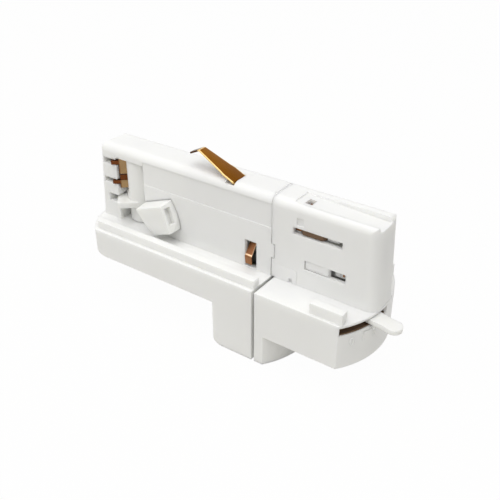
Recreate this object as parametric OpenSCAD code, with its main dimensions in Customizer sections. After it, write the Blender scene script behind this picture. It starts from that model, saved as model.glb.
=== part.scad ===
// Track light adapter: two moulded housings, a turning lock, snap claws and a circuit selector.
// Millimetres, +Z up. Origin on the axis of the lamp's threaded tube, at the bottom face of the boss.
// The pieces are drawn from the body's left end (X) and the flange's top face (Z), then placed together.

/* [Body] */
// Width of the body that goes into the track
body_w = 11.4; // [11:0.1:12]
// Height of the body over the flange
body_h = 24.6; // [24.6:0.1:26]
// Distance from the left end to the seam between the housings
seam_x = 64.2; // [64.2:0.1:66]
// Thickness of the body's side walls
wall = 1.4; // [1.3:0.05:1.5]
// Rounding of the long top edges
top_edge_r = 2.5; // [1.6:0.1:2.6]
// Lean of the left end face, in degrees
left_draft = 4.3; // [2:0.1:5]
// Lean of the right end face, in degrees
right_draft = 2.8; // [1:0.1:4]
// Length of the body from the left end to the right end
body_len = 96.3; // [96:0.1:98]

/* [Flange] */
// Width of the flange, equal to the track's outer width
flange_w = 31; // [30.6:0.1:33]
// Depth of the main housing's flange
main_flange_t = 8.8; // [8.6:0.1:10]
// Depth of the selector housing's flange
sel_flange_t = 13.64; // [13.4:0.01:14.4]
// Radius of the main flange's left end
left_end_r = 20.5; // [20.5:0.1:22]
// Radius of the selector flange's right end
right_end_r = 25; // [24.8:0.1:25.4]
// Gap between the two flanges
flange_gap = 0.96; // [0.6:0.01:1.2]
// Height of the rails over the flange
rail_h = 2.5; // [2:0.1:3]
// Width of the rails
rail_w = 2.5; // [2:0.1:2.6]
// Ledge between the rail and the flange's edge
rail_ledge = 1.3; // [1:0.1:1.5]

/* [Boss] */
// Depth of the boss under the flange's top face
boss_h = 23.3; // [23:0.1:25]
// Left side of the boss
boss_x = 50.4; // [50:0.1:50.8]
// Rounding of the boss's lower left edge
boss_r = 3.5; // [2:0.1:4]
// Distance from the left end to the threaded tube's axis
nipple_x = 57.4; // [57.2:0.1:57.6]
// Diameter of the hole for the threaded tube
nipple_d = 10.1; // [10.1:0.05:10.3]

/* [Lock] */
// Distance from the left end to the lock rotor's axis
lock_x = 12.7; // [12.6:0.05:12.8]
// Radius of the lock drum
drum_r = 5.2; // [5:0.05:5.25]
// Turn of the lock rotor from its flush position, in degrees
lock_turn = 40; // [30:1:45]
// Length of the locking wing from the axis
wing_len = 8.2; // [7.6:0.1:8.4]
// Reach of the lock contacts from the axis
lock_reach = 9.3; // [8.6:0.1:9.4]

/* [Claw] */
// Slope of the claws, in degrees
claw_tilt = 20.5; // [19:0.5:21]
// Height of the claws
claw_h = 9.16; // [8.6:0.02:9.2]
// Length of the claws along the wall
claw_w = 11.4; // [10.8:0.1:11.4]
// How far a claw stands out of the wall
claw_out = 4.5; // [4:0.1:4.6]

/* [Selector] */
// Direction of the selector lever, in degrees
lever_turn = -10.5; // [-12:0.5:-9]
// Reach of the selector lever from its axis
lever_reach = 33; // [31:0.5:34]
// Thickness of the selector lever
lever_t = 1.35; // [1.2:0.05:1.4]

/* [Springs] */
// Thickness of the bronze strips
strip_t = 0.5; // [0.4:0.02:0.5]
// Height of the earth spring's ridge over the body's top
ridge_rise = 5.8; // [5.4:0.1:6]

/* [Hidden] */
$fn = 64;
eps = 0.01;
gap = 0.3;
fit = 0.05;
seam_gap = 0.25;
half_w = body_w / 2;
half_f = flange_w / 2;
in_w = half_w - wall;
rim = 1.8;
far = 60;
// The main flange: centre of its left end, right end, ceiling of its hollow
left_cx = left_end_r - 1.65;
main_end = seam_x + 0.27;
sel_start = main_end + flange_gap;
main_roof = 1.6;
cover_t = 1.4;
cover_fit = 0.15;
// The selector flange: axis of the rotor, thin roof over the lever, shoulder for the detent plate
sel_x = body_len + 0.2 - right_end_r;
sel_roof = 0.75;
lever_top = -(sel_roof + gap);
lever_bot = lever_top - lever_t;
slot_bot = lever_bot - gap;
plate_z = slot_bot - 0.1;
plate_t = 0.4;
// The selector boss ends in an arc
sel_boss_r = 25.6;
sel_boss_cx = sel_start + 8.07 - sel_boss_r;
boss_floor = 3;
// Bearings
spigot_r = 2;
pin_r = 1;
// Lock bay, from the lock's axis
bay_x0 = lock_x - 5.5;
bay_x1 = lock_x + 5.5;
bay_top = body_h - 3.7;
neck_z0 = 0.3;
wing_z0 = 5.8;
wing_z1 = 7.7;
drum_z1 = bay_top - gap;
slot_deep = 2.6;
// Window of the drum; the two contacts take shares of its height
win_lo = wing_z1 + 1.8;
win_hi = drum_z1 - 0.2;
function in_window(share) = win_lo + share * (win_hi - win_lo);
upper_blade = [in_window(0.54), in_window(0.99)];
upper_tongue = [in_window(0.83), in_window(0.94)];
lower_blade = [in_window(0.11), in_window(0.34)];
lower_tongue = [in_window(0.24), in_window(0.34)];
finger_t = 1.0;
plate_reach = 7.0;
plate_half = 0.6;
pocket_x0 = lock_x - plate_reach - gap - 0.1;
lock_lever_turn = 90 + lock_turn;
lock_lever_z1 = -2.0;
lock_lever_z0 = -4.6;
lock_lever_reach = 22;
lock_lever_w = 4.6;
// Claw: lower left corner of its section
claw_x = 21.8;
claw_z = 0.65;
claw_bulge_r = 16;
claw_nose = 0.3;
claw_heel = 1.15;
claw_heel_z = claw_h * 0.45;
claw_toe = 3.5;
ring_h = 6;
claw_stroke = claw_out - 0.2;
claw_in = half_w - 0.8;
// Body chamber of the main housing
chamber_x = 34.6;
chamber_top = body_h - 1.6;
// Body chamber of the selector housing
sel_chamber_end = body_len - 2.5;
sel_chamber_top = body_h - 3.0;
// Slots in the selector wall
slot_a = [sel_x - 0.6, sel_x + 14.1, 15.6, 17.6];
slot_b = [sel_x + 3.3, sel_x + 15.7, 5.8, 8.6];
slot_b_open = sel_x + 10.8;
slot_b_back = sel_x + 0.1;
recess_d = 0.9;
plug_gap = 0.25;
// The rotor's hub and arms, from its axis: straight upper arm, lower arm with a finger
hub_r = in_w - gap;
hub_neck_r = 1.3;
hub_top = slot_a[3] + 0.6;
band_t = 0.45;
arm_reach = 12.5;
contact_end = 8.8;
finger_x0 = 13.4;
finger_x1 = 15.0;
finger_y = -hub_r + 0.1;
slit_x = 14.0;
slit_len = 3.4;
// Ends of the lever's slot, in degrees
slot_from = -37.5;
slot_to = 2.5;
plate_play = 0.7;
// Marks on the selector housing, from the rotor's axis
groove_x = sel_x - 1;
block_x = sel_x + 10.6;
block_len = 9.6;
block_h = 3.2;
notch_x = sel_x - 1.3;
mark_x = sel_x + 0.5;
mark_w = 2.1;
mark_d = 0.35;
key_r = 2.9;
key_flat = 2.1;
// Side window and its leaf
win = [55.45, 59.34, 0.34, 8.67];
leaf_x0 = win[0] + gap;
leaf_x1 = leaf_x0 + 2.25;
leaf_root_z = win[3] - 0.07;
leaf_y = -2.6;
// Earth spring
spring_y = -2.1;
root_x = 51.1;
root_z = body_h - 1.9;
ridge_x = root_x - 12.9;
ridge_z = body_h + ridge_rise;
tip_x = ridge_x - 3.5;
tip_z = ridge_z - 1.7;
root_w = 2.8;
step_w = 2.55;
stem_w = 2.1;
step_x = root_x - 4;
ridge_w = 1.4;
tip_w = 1.0;
spring_slot_x = root_x - 2.6;
// Cover screws
base_post = [24, half_f - 5];
sel_post = [sel_x + 6.5, half_f - 4.3];
post_r = 2.3;
screw_r = 0.95;
head_r = 1.9;
head_h = 0.8;
screw_len = 5;
// Terminals
term_x0 = 30;
term_x1 = 46;
term_half = 8;
term_h = 4.8;
term_pitch = 5;
term_screw_r = 1.5;
// Nut for the threaded tube
nut_af = 12;
nut_h = 4;

// Puts the drawing's zero at the threaded tube's axis on the boss's bottom face.
module placed()
  translate([-nipple_x, 0, boss_h]) children();

// Draws the children on the front and on the back.
module both_sides() {
  children();
  mirror([0, 1, 0]) children();
}

// A (y, z) outline drawn along X.
module along_x(x0, x1)
  translate([x0, 0, 0]) rotate([90, 0, 90]) linear_extrude(x1 - x0) children();

// An (x, z) outline drawn along Y.
module along_y(y0, y1)
  translate([0, y1, 0]) rotate([90, 0, 0]) linear_extrude(y1 - y0) children();

// A plan outline drawn along Z.
module along_z(z0, z1)
  translate([0, 0, z0]) linear_extrude(z1 - z0) children();

// What a rounded corner takes away from a square one at the origin.
module corner(r)
  difference() {
    translate([-eps, -eps]) square(r + eps);
    translate([r, r]) circle(r);
  }

// A rectangle with a radius of its own at each corner.
module soft_rect(x0, y0, x1, y1, bl = 0, br = 0, tr = 0, tl = 0)
  difference() {
    translate([x0, y0]) square([x1 - x0, y1 - y0]);
    if (bl > 0) translate([x0, y0]) corner(bl);
    if (br > 0) translate([x1, y0]) mirror([1, 0]) corner(br);
    if (tr > 0) translate([x1, y1]) mirror([1, 0]) mirror([0, 1]) corner(tr);
    if (tl > 0) translate([x0, y1]) mirror([0, 1]) corner(tl);
  }

// A wedge in plan between two directions.
module pie(a0, a1, r)
  polygon([[0, 0], [r * cos(a0), r * sin(a0)], [r * cos((2 * a0 + a1) / 3), r * sin((2 * a0 + a1) / 3)],
    [r * cos((a0 + 2 * a1) / 3), r * sin((a0 + 2 * a1) / 3)], [r * cos(a1), r * sin(a1)]]);

// A ring in plan between two directions.
module ring_part(r0, r1, a0, a1)
  intersection() {
    difference() {
      circle(r1);
      circle(r0);
    }
    pie(a0, a1, 2 * r1);
  }

// Cross-section of the body with rounded long top edges.
module body_section()
  soft_rect(-half_w, -1, half_w, body_h, tr = top_edge_r, tl = top_edge_r);

// Plan of the main flange's end, moved in by a margin.
module main_plan(margin, x_end)
  intersection() {
    union() {
      translate([left_cx, 0]) circle(left_end_r - margin);
      translate([left_cx, -half_f]) square([far, flange_w]);
    }
    translate([-far, -half_f + margin]) square([far + x_end, flange_w - 2 * margin]);
  }

// Plan of the selector flange, moved in by a margin.
module sel_plan(margin, x_start)
  intersection() {
    translate([sel_x, 0]) circle(right_end_r - margin);
    translate([x_start, -half_f + margin]) square([far, flange_w - 2 * margin]);
  }

// Plan of the selector boss, moved in by a margin.
module sel_boss_plan(margin, x_start)
  intersection() {
    translate([sel_boss_cx, 0]) circle(sel_boss_r - margin);
    translate([x_start, -half_f + margin]) square([far, flange_w - 2 * margin]);
  }

// The left body: a drafted end with a rolled top edge and soft upright corners.
module main_body() {
  end_r = 2;
  end_x = -0.5;
  roll_x = end_x + (body_h - end_r) * tan(left_draft) + eps;
  intersection() {
    along_x(-end_r, seam_x) body_section();
    translate([end_x, 0, 0]) rotate([0, left_draft, 0])
      along_z(-rim, far) soft_rect(0, -half_w, 2 * far, half_w, bl = 1.2, tl = 1.2);
    along_y(-half_w, half_w) difference() {
      translate([-end_r, -1]) square([seam_x + end_r, body_h + 1]);
      translate([roll_x, body_h]) mirror([0, 1]) corner(end_r);
    }
  }
}

// The main flange, its left end rolled under at the bottom edge.
module main_flange() {
  roll = 2;
  intersection() {
    translate([left_cx, 0, -main_flange_t]) {
      translate([0, 0, roll]) cylinder(r = left_end_r, h = main_flange_t - roll);
      cylinder(r = left_end_r - roll, h = main_flange_t);
      translate([0, 0, roll]) rotate_extrude() translate([left_end_r - roll, 0]) circle(roll);
    }
    translate([left_cx - far, -half_f, -main_flange_t]) cube([far, flange_w, main_flange_t]);
  }
  translate([left_cx - eps, -half_f, -main_flange_t]) cube([main_end - left_cx + eps, flange_w, main_flange_t]);
}

// The two rails that guide the track's lips.
module rails()
  both_sides()
    along_z(-eps, rail_h)
      intersection() {
        main_plan(1, seam_x + 0.14);
        translate([-far, -half_f + rail_ledge]) square([3 * far, rail_w]);
      }

// The main boss, its lower left edge rolled.
module main_boss()
  intersection() {
    along_y(-half_f, half_f) soft_rect(boss_x, -boss_h, main_end, -1, bl = boss_r);
    along_z(-far, 0) soft_rect(boss_x, -half_f, main_end, half_f, bl = 1, tl = 1);
  }

// Section of a claw in its own sloped axes: flat top and bottom, full right end, nose at the upper left, cut toe.
module claw_section(c) {
  lean = (claw_toe - claw_heel) / claw_heel_z;
  intersection() {
    soft_rect(-claw_nose - c, -c, claw_w + c, claw_h + c, tl = 0.3);
    translate([claw_w - claw_bulge_r, claw_h / 2]) circle(claw_bulge_r + c);
    polygon([[claw_toe + lean - c, -1 - c], [far, -1 - c], [far, far], [-claw_nose - c, far],
      [-claw_nose - c, claw_h - 0.6 - c], [claw_heel - c, claw_heel_z - c]]);
  }
}

// Moves a solid drawn in the claw's axes to its place.
module claw_place()
  translate([claw_x, 0, claw_z]) rotate([0, -claw_tilt, 0]) children();

// The opening of the lock bay with its comb of slots on the left.
module lock_bay() {
  finger_r = 0.6;
  slots = [[2.1, upper_tongue[0] - gap, upper_tongue[1] + gap], [1.8, lower_tongue[0] - gap, lower_tongue[1] + gap],
    [3.0, wing_z0 - gap, wing_z1 + 0.4]];
  along_y(-half_w - 1, half_w + 1) translate([bay_x0, 0]) square([bay_x1 - bay_x0, bay_top]);
  along_y(-half_w - 1, slot_deep)
    for (s = slots) {
      translate([s[0], s[1]]) square([bay_x0 - s[0] + eps, s[2] - s[1]]);
      translate([bay_x0, s[1]]) mirror([1, 0]) mirror([0, 1]) corner(finger_r);
      translate([bay_x0, s[2]]) mirror([1, 0]) corner(finger_r);
    }
  // Room behind the fingers for the contacts' plates
  translate([pocket_x0, -half_w + finger_t, lower_blade[0] - gap])
    cube([bay_x0 - pocket_x0 + eps, half_w - finger_t + slot_deep, bay_top - 0.2 - lower_blade[0] + gap]);
  translate([lock_x, 0, -main_roof - eps]) cylinder(r = spigot_r + fit, h = main_roof + 2 * eps);
  translate([lock_x, 0, bay_top - eps]) cylinder(r = spigot_r + fit, h = 2.5);
}

// Hollow of the main flange, the boss and the body chamber.
module main_hollow() {
  door_half = 6;
  along_z(-main_flange_t - eps, -main_flange_t + cover_t) main_plan(rim, boss_x - rim);
  along_z(-main_flange_t, -main_roof) main_plan(rim + 0.6, boss_x - rim - 0.6);
  translate([boss_x - 2 * rim, -door_half, -main_flange_t + cover_t + gap])
    cube([4 * rim, 2 * door_half, main_flange_t - cover_t - main_roof - gap]);
  translate([boss_x + rim, -half_f + rim, -boss_h + boss_floor])
    cube([far, flange_w - 2 * rim, boss_h - boss_floor - main_roof]);
  translate([chamber_x, -in_w, -main_roof - eps]) cube([far, 2 * in_w, chamber_top + main_roof + eps]);
  translate([nipple_x, 0, -boss_h - eps]) cylinder(r = nipple_d / 2, h = boss_floor + 2 * eps);
  translate([nipple_x, 0, -boss_h + boss_floor]) nut_prism(nut_af + 2 * cover_fit, nut_h + 1);
}

// A hexagon with two flats towards the ends of the body.
module nut_prism(af, h)
  linear_extrude(h) rotate(30) circle(r = af / 2 / cos(30), $fn = 6);

// The snap tabs that lap into the selector housing at the seam.
module seam_tabs(c)
  both_sides()
    translate([seam_x - 1, -half_w - c, 6 - c]) cube([2 + c, wall + c, 4.2 + 2 * c]);

// Hollow posts that take the cover screws.
module post(p, z0, z1)
  both_sides() translate([p[0], p[1], z0]) cylinder(r = post_r, h = z1 - z0);

module post_hole(p, z0)
  both_sides() translate([p[0], p[1], z0 - eps]) cylinder(r = screw_r + fit, h = 4.5);

module main_housing() {
  step_z = 15;
  step_d = 0.2;
  color("white") placed() {
    difference() {
      union() {
        main_body();
        main_flange();
        rails();
        main_boss();
      }
      main_hollow();
      lock_bay();
      claw_place() along_y(-half_w - 1, half_w + 1) claw_section(gap);
      claw_place() translate([claw_w / 2, 0, -gap]) cylinder(r = claw_in, h = ring_h + 2 * gap);
      // Upper wall set back a little above the step line
      both_sides() translate([bay_x1, -half_w - eps, step_z]) cube([seam_x, step_d + eps, body_h - step_z - top_edge_r]);
      // Window of the side contact, slot of the earth spring
      translate([win[0], -half_w - 1, win[2]]) cube([win[1] - win[0], wall + 2, win[3] - win[2]]);
      translate([spring_slot_x, spring_y - root_w - gap, body_h - 1])
        cube([root_x + gap - spring_slot_x, 2 * (root_w + gap), 4]);
      translate([root_x - strip_t - 2 * gap, spring_y - stem_w - gap, chamber_top - eps])
        cube([strip_t + 3 * gap, 2 * (stem_w + gap), 4]);
      // Arc slot for the lock lever
      translate([lock_x, 0, 0]) along_z(lock_lever_z0 - gap, lock_lever_z1 + gap)
        pie(lock_lever_turn - 52, lock_lever_turn + 58, 40);
    }
    difference() {
      post(base_post, -main_flange_t + cover_t + 0.05, -main_roof + eps);
      post_hole(base_post, -main_flange_t + cover_t);
    }
    intersection() {
      seam_tabs(0);
      along_x(0, far * 2) body_section();
    }
  }
}

module selector_housing() {
  x0 = seam_x + seam_gap;
  corner_r = 2.8;
  roll = 1.6;
  roll_x = body_len - (body_h - roll) * tan(right_draft) - eps;
  color("white") placed() {
    difference() {
      union() {
        intersection() {
          along_x(x0, far * 2) body_section();
          translate([body_len, 0, 0]) rotate([0, -right_draft, 0])
            along_z(-rim, far) soft_rect(-far, -half_w, 0, half_w, br = corner_r, tr = corner_r);
          along_y(-half_w - 1, half_w + 1) difference() {
            translate([0, -2]) square([body_len + 1, body_h + 3]);
            translate([roll_x, body_h]) mirror([1, 0]) mirror([0, 1]) corner(roll);
          }
        }
        along_z(-sel_flange_t, 0) sel_plan(0, sel_start);
        along_z(-boss_h, -sel_flange_t + 1) sel_boss_plan(0, sel_start);
        // Raised blocks in line with the rails
        both_sides() translate([block_x, -half_f + 0.8, -eps]) cube([block_len, rail_w, block_h + eps]);
        // Faint panel at the foot of the wall
        translate([x0 + 0.15, -half_w - 0.12, -eps]) cube([8, 0.5, 4.3]);
      }
      // Clear of the main flange's end under the seam
      translate([x0 - 1, -half_f, -2]) cube([sel_start - x0 + 1, flange_w, 2.1]);
      // Chamber for the rotor, hollow of the flange and of the boss
      translate([x0 - 1, -in_w, -sel_roof - eps]) cube([sel_chamber_end - x0 + 1, 2 * in_w, sel_chamber_top + sel_roof + eps]);
      along_z(plate_z - eps, -sel_roof) sel_plan(rim + 1.4, sel_start - 1);
      along_z(-sel_flange_t - eps, plate_z) difference() {
        sel_plan(rim, sel_start - 1);
        translate([0, -half_f]) square([sel_start, flange_w]);
      }
      along_z(-boss_h + 2, -sel_flange_t + 1 + eps) sel_boss_plan(rim, sel_start - 1);
      // Arc slot for the lever
      translate([sel_x, 0, 0]) along_z(plate_z - plate_t - fit, -sel_roof) pie(slot_from, slot_to, 45);
      // Thin line on the rim under the lever
      translate([sel_x, 0, 0]) along_z(plate_z - 1.55, plate_z - 1.25) ring_part(right_end_r - 0.5, right_end_r + 1, -20, -6);
      // Slots for the rotor's arms
      translate([slot_a[0], -half_w - 1, slot_a[2]]) cube([slot_a[1] - slot_a[0], body_w + 2, slot_a[3] - slot_a[2]]);
      translate([slot_b[0], -half_w - 1, slot_b[2]]) cube([slot_b[1] - slot_b[0], 1 + recess_d, slot_b[3] - slot_b[2]]);
      translate([slot_b_open, -half_w - 1, slot_b[2]]) cube([slot_b[1] - slot_b_open, half_w + 1, slot_b[3] - slot_b[2]]);
      translate([slot_b_back, 0, slot_b[2]]) cube([slot_b[1] - slot_b_back, half_w + 1, slot_b[3] - slot_b[2]]);
      // Groove in the top, sloping down to the right end, with its window
      translate([groove_x, -4.4, body_h - 0.3]) rotate([0, 2.9, 0]) cube([far, 6.2, 5]);
      translate([sel_x + 1.3, -3.2, sel_chamber_top - 1]) cube([2, 2.7, 5]);
      translate([x0 - 1, -4.5, body_h - 0.2]) cube([groove_x - x0 + 2, 0.25, 1]);
      // Bearing of the rotor's upper pin
      translate([sel_x, 0, sel_chamber_top - eps]) cylinder(r = pin_r + fit, h = 1.2);
      // Notches of the snap tabs and small marks on the wall
      seam_tabs(0.15);
      translate([notch_x, -half_w - 1, 0.2]) cube([1, 1.5, 1.2]);
      translate([mark_x, -half_w - 1, slot_a[3] + 0.9]) cube([mark_w, 1 + mark_d, mark_w]);
    }
    // Plug that closes slot B up to its open end
    translate([slot_b[0] + plug_gap, -half_w + plug_gap, slot_b[2] + plug_gap])
      cube([slot_b_open - slot_b[0] - 2 * plug_gap, recess_d, slot_b[3] - slot_b[2]]);
    difference() {
      intersection() {
        post(sel_post, -sel_flange_t + cover_t + 0.05, -sel_roof + eps);
        along_z(-far, 0) sel_plan(rim - eps, sel_start);
      }
      post_hole(sel_post, -sel_flange_t + cover_t);
    }
  }
}

// Screw holes with sunk heads in a cover.
module cover_holes(p, z0)
  both_sides() {
    translate([p[0], p[1], z0 - eps]) cylinder(r = screw_r + 0.2, h = cover_t + 2 * eps);
    translate([p[0], p[1], z0 - eps]) cylinder(r = head_r + 0.1, h = head_h + eps);
  }

module base_cover()
  color("white") placed() difference() {
    along_z(-main_flange_t, -main_flange_t + cover_t) main_plan(rim + cover_fit, boss_x - rim - cover_fit);
    cover_holes(base_post, -main_flange_t);
  }

module selector_cover()
  color("white") placed() difference() {
    along_z(-sel_flange_t, -sel_flange_t + cover_t) difference() {
      sel_plan(rim + cover_fit, sel_start + rim);
      translate([sel_boss_cx, 0]) circle(sel_boss_r + cover_fit);
    }
    cover_holes(sel_post, -sel_flange_t);
  }

// One self-tapping screw with a slotted head.
module cover_screw()
  difference() {
    union() {
      cylinder(r = head_r, h = head_h);
      cylinder(r = screw_r, h = screw_len);
    }
    translate([-head_r - 1, -0.25, -eps]) cube([2 * head_r + 2, 0.5, 0.4]);
  }

module cover_screws()
  color("silver") placed()
    both_sides() {
      translate([base_post[0], base_post[1], -main_flange_t]) cover_screw();
      translate([sel_post[0], sel_post[1], -sel_flange_t]) cover_screw();
    }

// A stem with a flat that drives a lever.
module flat_stem(r, flat, z0, z1)
  intersection() {
    translate([0, 0, z0]) cylinder(r = r, h = z1 - z0);
    translate([-r - 1, -flat, z0]) cube([2 * r + 2, r + 1 + flat, z1 - z0]);
  }

// Window in the drum that shows the contacts, and the recess that holds them.
module drum_window(c)
  along_z(win_lo - c, win_hi + c) rotate(180) pie(-30, 30, 9);

module lock_turned()
  placed() translate([lock_x, 0, 0]) rotate([0, 0, lock_turn]) children();

module lock_rotor()
  color("white") lock_turned() {
    difference() {
      union() {
        translate([0, 0, neck_z0]) cylinder(r = drum_r - 0.5, h = wing_z0 - neck_z0 + eps);
        translate([0, 0, wing_z0 - eps]) cylinder(r = drum_r, h = drum_z1 - wing_z0 + eps);
        along_z(wing_z0, wing_z1) intersection() {
          soft_rect(-wing_len, -drum_r, 0, 2, bl = 0.8, tl = 0.5);
          circle(wing_len + 1.5);
        }
        translate([0, 0, drum_z1 - eps]) cylinder(r = spigot_r, h = 2.6);
      }
      intersection() {
        drum_window(0);
        translate([-far, -far, 0]) cube([far - 1.8, 2 * far, far]);
      }
    }
    translate([0, 0, lock_lever_z1 + 0.2]) cylinder(r = spigot_r, h = neck_z0 - lock_lever_z1);
    flat_stem(spigot_r, 1.4, lock_lever_z0 - 0.2, lock_lever_z1 + 0.2 + eps);
  }

// One contact of the lock: an upright blade in the drum's window with a tongue that reaches out.
module lock_contact(blade, tongue) {
  seat = -1.8 - fit;
  translate([-plate_reach, -plate_half, blade[0]]) cube([plate_reach + seat, 2 * plate_half, blade[1] - blade[0]]);
  translate([-lock_reach, -plate_half, tongue[0]])
    cube([lock_reach - plate_reach + 1, 2 * plate_half, tongue[1] - tongue[0]]);
}

module lock_contact_upper()
  color("peru") lock_turned() lock_contact(upper_blade, upper_tongue);

module lock_contact_lower()
  color("peru") lock_turned() lock_contact(lower_blade, lower_tongue);

module lock_lever()
  color("white") lock_turned() rotate([0, 0, 90])
    difference() {
      along_z(lock_lever_z0, lock_lever_z1) {
        circle(4.4);
        translate([0, -lock_lever_w / 2]) square([lock_lever_reach - lock_lever_w / 2, lock_lever_w]);
        translate([lock_lever_reach - lock_lever_w / 2, 0]) circle(lock_lever_w / 2);
      }
      rotate([0, 0, -90]) flat_stem(spigot_r + 0.03, 1.43, lock_lever_z0 - 1, lock_lever_z1 + 1);
    }

// The front claw: sloped block, lead-in on top, finger groove in its right end.
module claw() {
  lead = 6;
  claw_place() difference() {
    along_y(-half_w - claw_out, -claw_in) claw_section(0);
    translate([-1, -half_w, claw_h]) rotate([lead, 0, 0]) translate([0, -far, 0]) cube([far, far, far]);
    translate([claw_w - 1, -half_w - claw_out, -1]) rotate([0, 0, -15]) cube([far, far, claw_h + 4]);
    translate([claw_w - 1.7, -half_w - 3.5, claw_h * 0.28]) cube([4, 1.8, claw_h * 0.55]);
  }
}

module claw_front()
  color("white") placed() claw();

module claw_back()
  color("white") placed() mirror([0, 1, 0]) claw();

// Ring of spring strip between the claws.
module claw_spring() {
  ring_r = claw_in - gap;
  color("silver") placed() claw_place()
    translate([claw_w / 2, 0, -gap + 0.1]) difference() {
      cylinder(r = ring_r, h = ring_h);
      translate([0, 0, -1]) cylinder(r = ring_r - 0.4, h = ring_h + 2);
    }
}

module sel_turned()
  placed() translate([sel_x, 0, 0]) children();

// Plan of the upper contact: a band round the hub's front and a straight run along the arm, behind the wall.
module upper_contact_plan(c) {
  ring_part(hub_r - band_t - c, hub_r + c, -140 - 20 * c, -86);
  translate([-c, -hub_r - c]) square([contact_end + 2 * c, band_t + 2 * c]);
}

// The selector rotor: hub with an upper arm behind slot A and a lower arm whose finger looks out of slot B.
module selector_rotor() {
  color("white") sel_turned() {
    difference() {
      union() {
        translate([0, 0, lever_top + 0.1]) cylinder(r = hub_r, h = hub_top - lever_top - 0.1);
        translate([0, 0, hub_top - eps]) cylinder(r = hub_neck_r, h = sel_chamber_top - gap - hub_top + eps);
        translate([0, 0, sel_chamber_top - gap - eps]) cylinder(r = pin_r, h = 1.2);
        along_z(slot_a[2] + gap, slot_a[3] - gap)
          polygon([[0, -hub_r], [arm_reach - 0.3, -hub_r], [arm_reach, -hub_r + 0.8], [arm_reach, 0.2], [0, 2]]);
        along_z(slot_b[2] + gap, slot_b[3] - gap)
          polygon([[0, -1.5], [4, -1.5], [finger_x0 - 1.5, 0.15], [finger_x0, finger_y], [finger_x1, finger_y],
            [finger_x1 + 0.2, finger_y + 1.4], [finger_x1 - 0.4, 1.6], [finger_x0 - 1.9, 2], [0, 3]]);
      }
      // Groove of the upper contact, slit for the lower contact
      along_z(slot_a[2] + gap - fit, slot_a[3] - gap + fit) upper_contact_plan(fit);
      along_z(slot_b[2] + gap + 0.4, slot_b[3]) translate([slit_x - fit, finger_y - 1]) square([strip_t + 2 * fit, 1 + slit_len + fit]);
    }
    flat_stem(key_r, key_flat, lever_bot - 0.1, lever_top + 0.1 + eps);
    translate([0, 0, plate_z - 0.9]) cylinder(r = spigot_r, h = lever_bot - 0.1 - plate_z + 0.9 + eps);
  }
}

module selector_contact_upper()
  color("peru") sel_turned() along_z(slot_a[2] + gap, slot_a[3] - gap) upper_contact_plan(0);

module selector_contact_lower()
  color("peru") sel_turned()
    along_z(slot_b[2] + gap + 0.5, slot_b[3] - gap) translate([slit_x, finger_y]) square([strip_t, slit_len]);

// The finger lever: ring on the rotor's key, tapering arm, round tip, pointer outside the rim.
module selector_lever() {
  tip_r = 2.3;
  tip_at = lever_reach - tip_r;
  root_half = 2.6;
  waist_0 = right_end_r - 0.5;
  waist_1 = lever_reach - 4.5;
  color("white") sel_turned() {
    difference() {
      along_z(lever_bot, lever_top) {
        circle(5.6);
        rotate(lever_turn) {
          polygon([[0, -root_half], [waist_0, -2.42], [waist_1, -2.1], [tip_at, -tip_r], [tip_at, tip_r], [waist_1, 2.1],
            [waist_0, 2.42], [0, root_half]]);
          translate([tip_at, 0]) circle(tip_r);
        }
      }
      flat_stem(key_r + 0.03, key_flat + 0.03, lever_bot - 1, lever_top + 1);
    }
    along_z(lever_bot - 1.5, lever_bot + eps)
      ring_part(right_end_r + gap, right_end_r + gap + 0.8, lever_turn - 4, lever_turn + 4);
  }
}

// The bronze plate under the lever; its edge lies on the floor of the arc slot.
module detent_plate()
  color("peru") placed()
    along_z(plate_z - plate_t, plate_z) difference() {
      union() {
        intersection() {
          sel_plan(0.5, sel_x);
          translate([sel_x, 0]) pie(slot_from + plate_play, slot_to - plate_play, 60);
        }
        intersection() {
          sel_plan(rim + cover_fit, sel_x);
          translate([sel_x, 0]) pie(slot_from + plate_play, -slot_from - plate_play, 60);
        }
        translate([sel_x, 0]) circle(5.5);
      }
      translate([sel_x, 0]) circle(spigot_r + fit);
    }

// A strip of even thickness along two straight runs, given as an outline.
module bent_strip(a, b, c, t) {
  n1 = [-(b - a)[1], (b - a)[0]] / norm(b - a);
  n2 = [-(c - b)[1], (c - b)[0]] / norm(c - b);
  m = (n1 + n2) / (1 + n1 * n2);
  polygon([a, b, c, c + n2 * t, b + m * t, a + n1 * t]);
}

// The earth spring: a stem in the slot, a tapering strip that rises to the ridge and bends down at its tip.
module earth_spring()
  color("peru") placed() translate([0, spring_y, 0]) intersection() {
    union() {
      along_y(-root_w, root_w)
        bent_strip([root_x, body_h - strip_t], [ridge_x, ridge_z - strip_t], [tip_x, tip_z - strip_t], -strip_t);
      translate([root_x - strip_t, -stem_w, root_z]) cube([strip_t, 2 * stem_w, body_h - root_z - 0.1]);
    }
    along_z(0, far) polygon([[root_x + 1, -root_w], [root_x + 1, root_w], [step_x, root_w], [step_x - 0.3, step_w],
      [ridge_x, ridge_w], [tip_x - 1, tip_w], [tip_x - 1, -tip_w], [ridge_x, -ridge_w], [step_x - 0.3, -step_w],
      [step_x, -root_w]]);
  }

// The fixed strip under the roof that joins the earth spring and the side contact.
module earth_bar()
  color("peru") placed() {
    translate([root_x + 0.1, -in_w + fit, chamber_top - strip_t]) cube([leaf_x1 - root_x - 0.1, 2 * (in_w - fit), strip_t]);
    translate([leaf_x0, leaf_y - 0.1, leaf_root_z + gap]) cube([leaf_x1 - leaf_x0, strip_t, chamber_top - leaf_root_z - gap]);
    translate([leaf_x0, in_w - fit - strip_t, -4]) cube([leaf_x1 - leaf_x0, strip_t, chamber_top + 4]);
  }

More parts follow.
